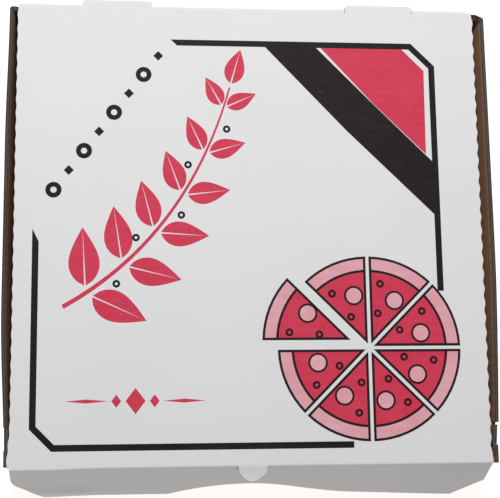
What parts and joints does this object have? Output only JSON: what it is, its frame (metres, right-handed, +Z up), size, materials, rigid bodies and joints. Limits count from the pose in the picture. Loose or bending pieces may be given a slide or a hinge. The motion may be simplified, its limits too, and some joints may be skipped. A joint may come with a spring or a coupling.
{
  "type": "pizza box",
  "caption": "Flat square folding box of corrugated board: a locked tray, a hinged lid with wavy cut edges and a thumb tab, and a recessed front flap.",
  "frame": {"origin": "middle of the tray's underside, half way between the lid's rear and front folds", "axes": "+Z up, front of the box towards -Y, +X to the right seen from the front"},
  "size_m": [0.333, 0.3354, 0.045],
  "materials": {
    "white_board": "white coated facing with red and black print, brown fluting at cut edges",
    "kraft_board": "plain brown kraft facing inside, white facing outside"
  },
  "bodies": {
    "tray": {"tray": "kraft_board"},
    "lid": {"lid": "white_board"},
    "front_flap": {"front_flap": "white_board"}
  },
  "joints": [
    {"name": "lid_hinge", "type": "hinge", "parent": "tray", "child": "lid", "pos_m": [0, 0.157, 0.045], "axis": [-1, 0, 0], "range_deg": [0, 185]},
    {"name": "flap_fold", "type": "hinge", "parent": "lid", "child": "front_flap", "pos_m": [0, -0.157, 0.045], "axis": [1, 0, 0], "range_deg": [-62, 28]}
  ]
}
